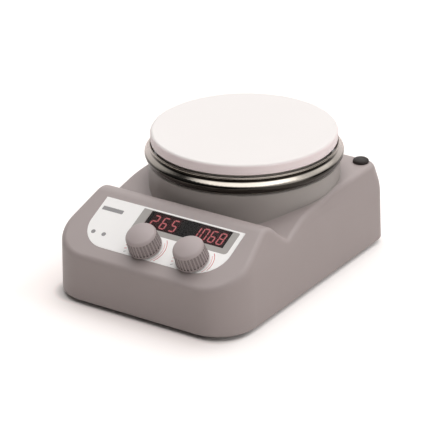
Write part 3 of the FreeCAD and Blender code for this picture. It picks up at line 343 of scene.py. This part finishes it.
dress("upper_housing", housing_paint())
dress("heat_knob speed_knob", knob_plastic())
dress("top_plate", plate_glaze())
dress("plate_skirt", skirt_chrome())
dress("front_overlay", overlay_film())
dress("display_window", display_filter())
dress("display_module", display_black())
dress("digit_segments", lit_red())
dress("rod_plug", rubber("plug_rubber", (0.020, 0.014, 0.012, 1), rough=0.55))
dress("rubber_feet", rubber("foot_rubber", (0.02, 0.02, 0.02, 1), rough=0.6))

dress("base_screws board_screws motor_screws plate_screws inlet_screws encoder_nuts "
      "probe_socket_nut carrier_grub_screw motor_standoffs",
      metal("zinc_plated", (0.58, 0.59, 0.60, 1), rough=0.32, scale=260.0, depth=0.10,
            tint=(0.62, 0.6, 0.5, 1)))
dress("base_plate motor_bracket",
      metal("zinc_sheet", (0.50, 0.51, 0.52, 1), rough=0.38, scale=120.0, depth=0.06,
            brushed=(1, 12, 1)))
dress("motor_shaft upper_bearing lower_bearing heat_encoder_shaft speed_encoder_shaft "
      "rod_socket plate_posts skirt_rivets temperature_sensor heat_shield",
      metal("ground_steel", (0.60, 0.60, 0.61, 1), rough=0.22, scale=300.0, depth=0.05,
            brushed=(1, 1, 8)))
dress("motor_can magnet_carrier heat_sink heat_encoder speed_encoder "
      "heat_encoder_plunger speed_encoder_plunger",
      metal("cast_alloy", (0.66, 0.67, 0.68, 1), rough=0.34, scale=350.0, depth=0.10))
dress("drive_magnets motor_rotor",
      metal("nickel_plate", (0.52, 0.50, 0.46, 1), rough=0.2, scale=200.0, depth=0.04))
dress("motor_stator",
      metal("laminations", (0.16, 0.16, 0.18, 1), rough=0.5, scale=60.0, depth=0.4,
            brushed=(1, 1, 60)))
dress("motor_coils",
      metal("enamelled_copper", (0.55, 0.20, 0.07, 1), rough=0.3, scale=80.0, depth=0.5,
            brushed=(1, 1, 40)))
dress("heater_element",
      plastic("mica_sheet", (0.45, 0.32, 0.16, 1), rough=0.5, grain=0.2, scale=300.0))
dress("insulation_disc",
      plastic("mineral_fibre", (0.72, 0.69, 0.62, 1), rough=0.85, grain=0.8, scale=600.0,
              spec=0.2, speck=0.2))
dress("control_board power_board",
      plastic("solder_mask", (0.015, 0.12, 0.05, 1), rough=0.3, grain=0.1, scale=400.0,
              spec=0.5))
dress("power_board_spacers", plastic("nylon", (0.75, 0.73, 0.68, 1), rough=0.5))
dress("transformer",
      metal("varnished_core", (0.14, 0.14, 0.15, 1), rough=0.5, scale=60.0, depth=0.4,
            brushed=(60, 1, 1)))
dress("capacitors", plastic("shrink_sleeve", (0.02, 0.03, 0.10, 1), rough=0.3))
dress("relay", plastic("relay_case", (0.02, 0.07, 0.22, 1), rough=0.4))
dress("terminal_block", plastic("terminal_green", (0.04, 0.2, 0.07, 1)))
dress("power_inlet switch_frame probe_socket",
      plastic("moulded_black", (0.018, 0.018, 0.018, 1), rough=0.5, grain=0.35, scale=1100.0,
              spec=0.4))
dress("power_rocker",
      plastic("rocker_black", (0.014, 0.014, 0.014, 1), rough=0.22, grain=0.05, scale=900.0,
              spec=0.5))
dress("inlet_pins",
      metal("bright_brass", (0.72, 0.56, 0.28, 1), rough=0.2, scale=200.0, depth=0.05,
            brushed=(1, 10, 1)))
dress("heater_leads",
      plastic("glass_braid", (0.7, 0.66, 0.55, 1), rough=0.8, grain=0.9, scale=1500.0,
              spec=0.2))
dress("mains_leads", plastic("brown_insulation", (0.10, 0.035, 0.015, 1), rough=0.4))
dress("signal_leads", plastic("red_insulation", (0.35, 0.02, 0.015, 1), rough=0.4))

for piece in nodes:
    slots = nodes[piece].data.materials
    if len(slots) == 0:
        slots.append(looks[piece])
    for i in range(len(slots)):
        slots[i] = looks[piece]

# ------------------------------------------------------------------ printed graphics on the film
# Panel coordinates in mm: x, distance up the slope, and height along the panel's normal.
PANEL_TILT = math.radians(25.7)
PANEL_UP = Vector((0, math.cos(PANEL_TILT), math.sin(PANEL_TILT)))
PANEL_NORMAL = Vector((0, -math.sin(PANEL_TILT), math.cos(PANEL_TILT)))
# the origin's z is that of a line through y = -53.8, z = 61.8, taken at y = -102.0
PANEL_ORIGIN = Vector((0, -0.1032, (61.8 + (-102.0 + 53.8) * math.tan(PANEL_TILT)) * MM))
FILM_FACE = 0.12               # outer face of the film, above the panel
INK_GAP = 0.002                # underside of the ink, above the film
KNOB_UP = 20.6                 # both knob centres, up the slope
# knob: centre x, low-end angle of the arc, low-end angle of the line
KNOBS = {"heat": (-4.9, -38.0, -45.0),
         "speed": (34.5, -20.0, -33.0)}


def panel(x, slope, height):
    return (PANEL_ORIGIN + Vector((x * MM, 0, 0)) + PANEL_UP * (slope * MM)
            + PANEL_NORMAL * (height * MM))


def print_shape(name, material, outer, inner=None, ink_top=0.03):
    """Thin closed solid on the film: a ring between two equal-length loops, or a plain patch."""
    mesh = bmesh.new()
    levels = (FILM_FACE + INK_GAP, FILM_FACE + ink_top)

    def raise_loop(loop):
        return [[mesh.verts.new(panel(x, slope, height)) for x, slope in loop]
                for height in levels]

    outer_low, outer_high = raise_loop(outer)
    pairs = [(i, (i + 1) % len(outer)) for i in range(len(outer))]
    for i, j in pairs:
        mesh.faces.new((outer_low[i], outer_low[j], outer_high[j], outer_high[i]))
    if inner:
        inner_low, inner_high = raise_loop(inner)
        for i, j in pairs:
            mesh.faces.new((inner_low[j], inner_low[i], inner_high[i], inner_high[j]))
            mesh.faces.new((outer_high[i], outer_high[j], inner_high[j], inner_high[i]))
            mesh.faces.new((outer_low[j], outer_low[i], inner_low[i], inner_low[j]))
    else:
        mesh.faces.new(outer_high)
        mesh.faces.new(list(reversed(outer_low)))
    bmesh.ops.recalc_face_normals(mesh, faces=mesh.faces)
    data = bpy.data.meshes.new(name)
    mesh.to_mesh(data)
    mesh.free()
    data.materials.append(material)
    shape = bpy.data.objects.new(name, data)
    scene.collection.objects.link(shape)
    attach(shape, "housing")


def arc(x, slope, radius, start, end, segments):
    angles = [math.radians(start + (end - start) * k / segments) for k in range(segments + 1)]
    return [(x + radius * math.cos(a), slope + radius * math.sin(a)) for a in angles]


def arc_band(x, slope, inner, outer, start, end, segments):
    return (arc(x, slope, outer, start, end, segments)
            + arc(x, slope, inner, end, start, segments))


def rounded(x0, x1, low, high, radii, segments=8):
    """Rounded rectangle; radii for the low x0, low x1, high x1 and high x0 corners."""
    corners = ((x0, low, 180), (x1, low, 270), (x1, high, 0), (x0, high, 90))
    loop = []
    for (x, slope, start), radius in zip(corners, radii):
        centre_x = x + (radius if x == x0 else -radius)
        centre_slope = slope + (radius if slope == low else -radius)
        loop += arc(centre_x, centre_slope, radius, start, start + 90.0, segments)
    return loop


def tick(x, slope, angle, inner, outer, half_width):
    """Radial bar between two radii."""
    c, s = math.cos(math.radians(angle)), math.sin(math.radians(angle))
    return [(x + radius * c - side * s, slope + radius * s + side * c)
            for radius, side in ((inner, half_width), (inner, -half_width),
                                 (outer, -half_width), (outer, half_width))]


ink_grey = ink("ink_grey", srgb(168, 164, 160))
ink_red = ink("ink_red", srgb(205, 62, 66))
ink_pink = ink("ink_pink", srgb(222, 128, 130))
ink_dark = ink("ink_dark", srgb(150, 148, 148))

print_shape("readout_surround", ink_grey,
            outer=rounded(-25.3, 55.0, 31.9, 52.0, radii=(0.6, 2.6, 1.0, 0.6)),
            inner=rounded(-18.2, 49.5, 36.5, 51.7, radii=(0.15,) * 4), ink_top=0.04)
print_shape("plain_bar", ink_dark,
            rounded(-56.0, -38.5, 41.6, 45.0, radii=(0.5,) * 4, segments=4))
for k, dot_x in enumerate((-50.5, -41.5)):
    circle = arc(dot_x, 21.5, radius=1.7, start=0.0, end=360.0, segments=28)[:-1]
    print_shape("plain_dot_%d" % k, ink_dark, circle)

# Arcs on the +X side of each knob; the speed knob's stop sooner, clear of the film's corner.
for knob, (knob_x, arc_low, line_low) in KNOBS.items():
    print_shape("%s_scale_arc" % knob, ink_red,
                arc_band(knob_x, KNOB_UP, inner=15.2, outer=15.6,
                         start=arc_low, end=40.0, segments=48))
    print_shape("%s_scale_line" % knob, ink_pink,
                arc_band(knob_x, KNOB_UP, inner=13.6, outer=13.9,
                         start=line_low, end=32.0, segments=40))
    for k, angle in enumerate((190.0, 201.0, 212.0)):
        print_shape("%s_scale_tick_%d" % (knob, k), ink_red if k < 2 else ink_dark,
                    tick(knob_x, KNOB_UP, angle, inner=14.0, outer=15.4 + 0.4 * k,
                         half_width=0.22))

# ------------------------------------------------------------------ floor
FLOOR_HALF = 7.0
FLOOR_GLOW_SEEN = 0.33         # glow for camera rays
FLOOR_GLOW_ALL = 0.0           # glow added for every ray


def floor_paper():
    """Paper that glows round the housing but not beneath it; the fading glow paints a warm contact
    shadow round the housing.
    """
    mat = Material("floor_paper")
    base = mat.vary((0.80, 0.765, 0.745, 1), amount=0.004, scale=3.0)
    camera_ray = mat.add("LightPath").outputs["Is Camera Ray"]

    def clear_of(centre, half_size, near, far):
        """0 nearer than near to a rectangle on the floor, rising to 1 at far; metres."""
        place = mat.separate()
        squares = []
        for axis, middle, half in zip("XY", centre, half_size):
            offset = mat.calc("ABSOLUTE", mat.calc("SUBTRACT", place[axis], middle))
            beyond = mat.calc("MAXIMUM", mat.calc("SUBTRACT", offset, half), 0.0)
            squares.append(mat.calc("MULTIPLY", beyond, beyond))
        distance = mat.calc("POWER", mat.calc("ADD", *squares), 0.5)
        return mat.step(distance, near, far, smooth=True)

    # painted shadow: the camera-only glow fades out near the housing, reaching further on the -X
    # side, and a narrow band along its edge stays dark
    wide = clear_of(centre=(-0.020, 0.0), half_size=(0.067, 0.104), near=0.003, far=0.042)
    edge = clear_of(centre=(-0.002, 0.0), half_size=(0.058, 0.085), near=0.0165, far=0.0235)
    share = mat.calc("ADD", mat.calc("MULTIPLY", edge, 0.76), mat.calc("MULTIPLY", wide, 0.24))
    seen = mat.calc("MULTIPLY", mat.calc("MULTIPLY", camera_ray, FLOOR_GLOW_SEEN), share)
    return mat.principled(
        Base_Color=base, Roughness=0.7, Specular_IOR_Level=0.1,
        # painted shadow tint: the glow turns warm near the housing
        Emission_Color=mat.mix(wide, (1.0, 0.885, 0.87, 1), (1, 0.995, 0.99, 1)),
        Emission_Strength=mat.calc("ADD", seen, FLOOR_GLOW_ALL))


floor_mesh = bpy.data.meshes.new("studio_floor")
floor_mesh.from_pydata([(x * FLOOR_HALF, y * FLOOR_HALF, 0)
                        for x, y in ((-1, -1), (1, -1), (1, 1), (-1, 1))], [], [(0, 1, 2, 3)])
floor = bpy.data.objects.new("studio_floor", floor_mesh)
scene.collection.objects.link(floor)
floor_mesh.materials.append(floor_paper())

# ------------------------------------------------------------------ sky
AMBIENT = 0.02
# round patches of light: azimuth (0 is +X, 90 is +Y), elevation, half angle, softness, level
SKY = [(0.0, 90.0, 27.0, 10.0, 2.14),
       (0.0, 52.0, 21.0, 12.0, 0.64),
       (60.0, 52.0, 21.0, 12.0, 0.90),
       (120.0, 52.0, 21.0, 12.0, 1.10),
       (-42.0, 16.0, 19.0, 11.0, 0.60),
       (0.0, 16.0, 20.0, 11.0, 0.98),
       (124.0, 2.0, 62.0, 14.0, 0.64)]


def sky_patch(sky, azimuth, elevation, half, soft):
    """1 inside the patch, 0 outside, with a soft edge."""
    a, e = math.radians(azimuth), math.radians(elevation)
    centre = (math.cos(a) * math.cos(e), math.sin(a) * math.cos(e), math.sin(e))
    closeness = sky.add("VectorMath", {0: sky.coords, 1: centre},
                        operation="DOT_PRODUCT").outputs["Value"]
    return sky.step(closeness, math.cos(math.radians(half + soft)),
                    math.cos(math.radians(max(0.0, half - soft))), smooth=True)


world = bpy.data.worlds.new("studio")
scene.world = world
world.use_nodes = True
sky = Shader(world.node_tree, "OutputWorld", "Generated")
light = AMBIENT
for *patch, level in SKY:
    light = sky.calc("ADD", sky.calc("MULTIPLY", sky_patch(sky, *patch), level), light)
# seen directly, the sky past the edge of the floor has a plain strength of 1
seen = sky.add("LightPath").outputs["Is Camera Ray"]
light = sky.calc("ADD", sky.calc("MULTIPLY", light, sky.calc("SUBTRACT", 1.0, seen)), seen)
sky.finish(sky.add("Background", {"Strength": light, "Color": (1.0, 0.985, 0.98, 1)}))

# ------------------------------------------------------------------ camera
CAMERA_AZIMUTH = 34.14         # from -Y towards +X, degrees
CAMERA_ELEVATION = 24.94
CAMERA_ROLL = -1.0
CAMERA_DISTANCE = 1.731
CAMERA_TARGET = Vector((0.0050, -0.0073, 0.0400))
CAMERA_LENS = 198.2421818      # mm, on a 36 mm sensor

azimuth, elevation, roll = (
    math.radians(v) for v in (CAMERA_AZIMUTH, CAMERA_ELEVATION, CAMERA_ROLL))
back = Vector((math.sin(azimuth) * math.cos(elevation),
               -math.cos(azimuth) * math.cos(elevation), math.sin(elevation)))
forward = -back
level_right = forward.cross(Vector((0, 0, 1))).normalized()
level_up = level_right.cross(forward)
right = level_right * math.cos(roll) + level_up * math.sin(roll)
up = -level_right * math.sin(roll) + level_up * math.cos(roll)
camera_data = bpy.data.cameras.new("camera")
camera_data.sensor_width = 36.0
camera_data.lens = CAMERA_LENS
camera_data.clip_end = 50.0
camera = bpy.data.objects.new("camera", camera_data)
camera.matrix_world = Matrix([
    (right[i], up[i], back[i], CAMERA_TARGET[i] + back[i] * CAMERA_DISTANCE)
    for i in range(3)] + [(0, 0, 0, 1)])
scene.collection.objects.link(camera)
scene.camera = camera
scene.view_settings.view_transform = "Standard"
scene.view_settings.look = "None"
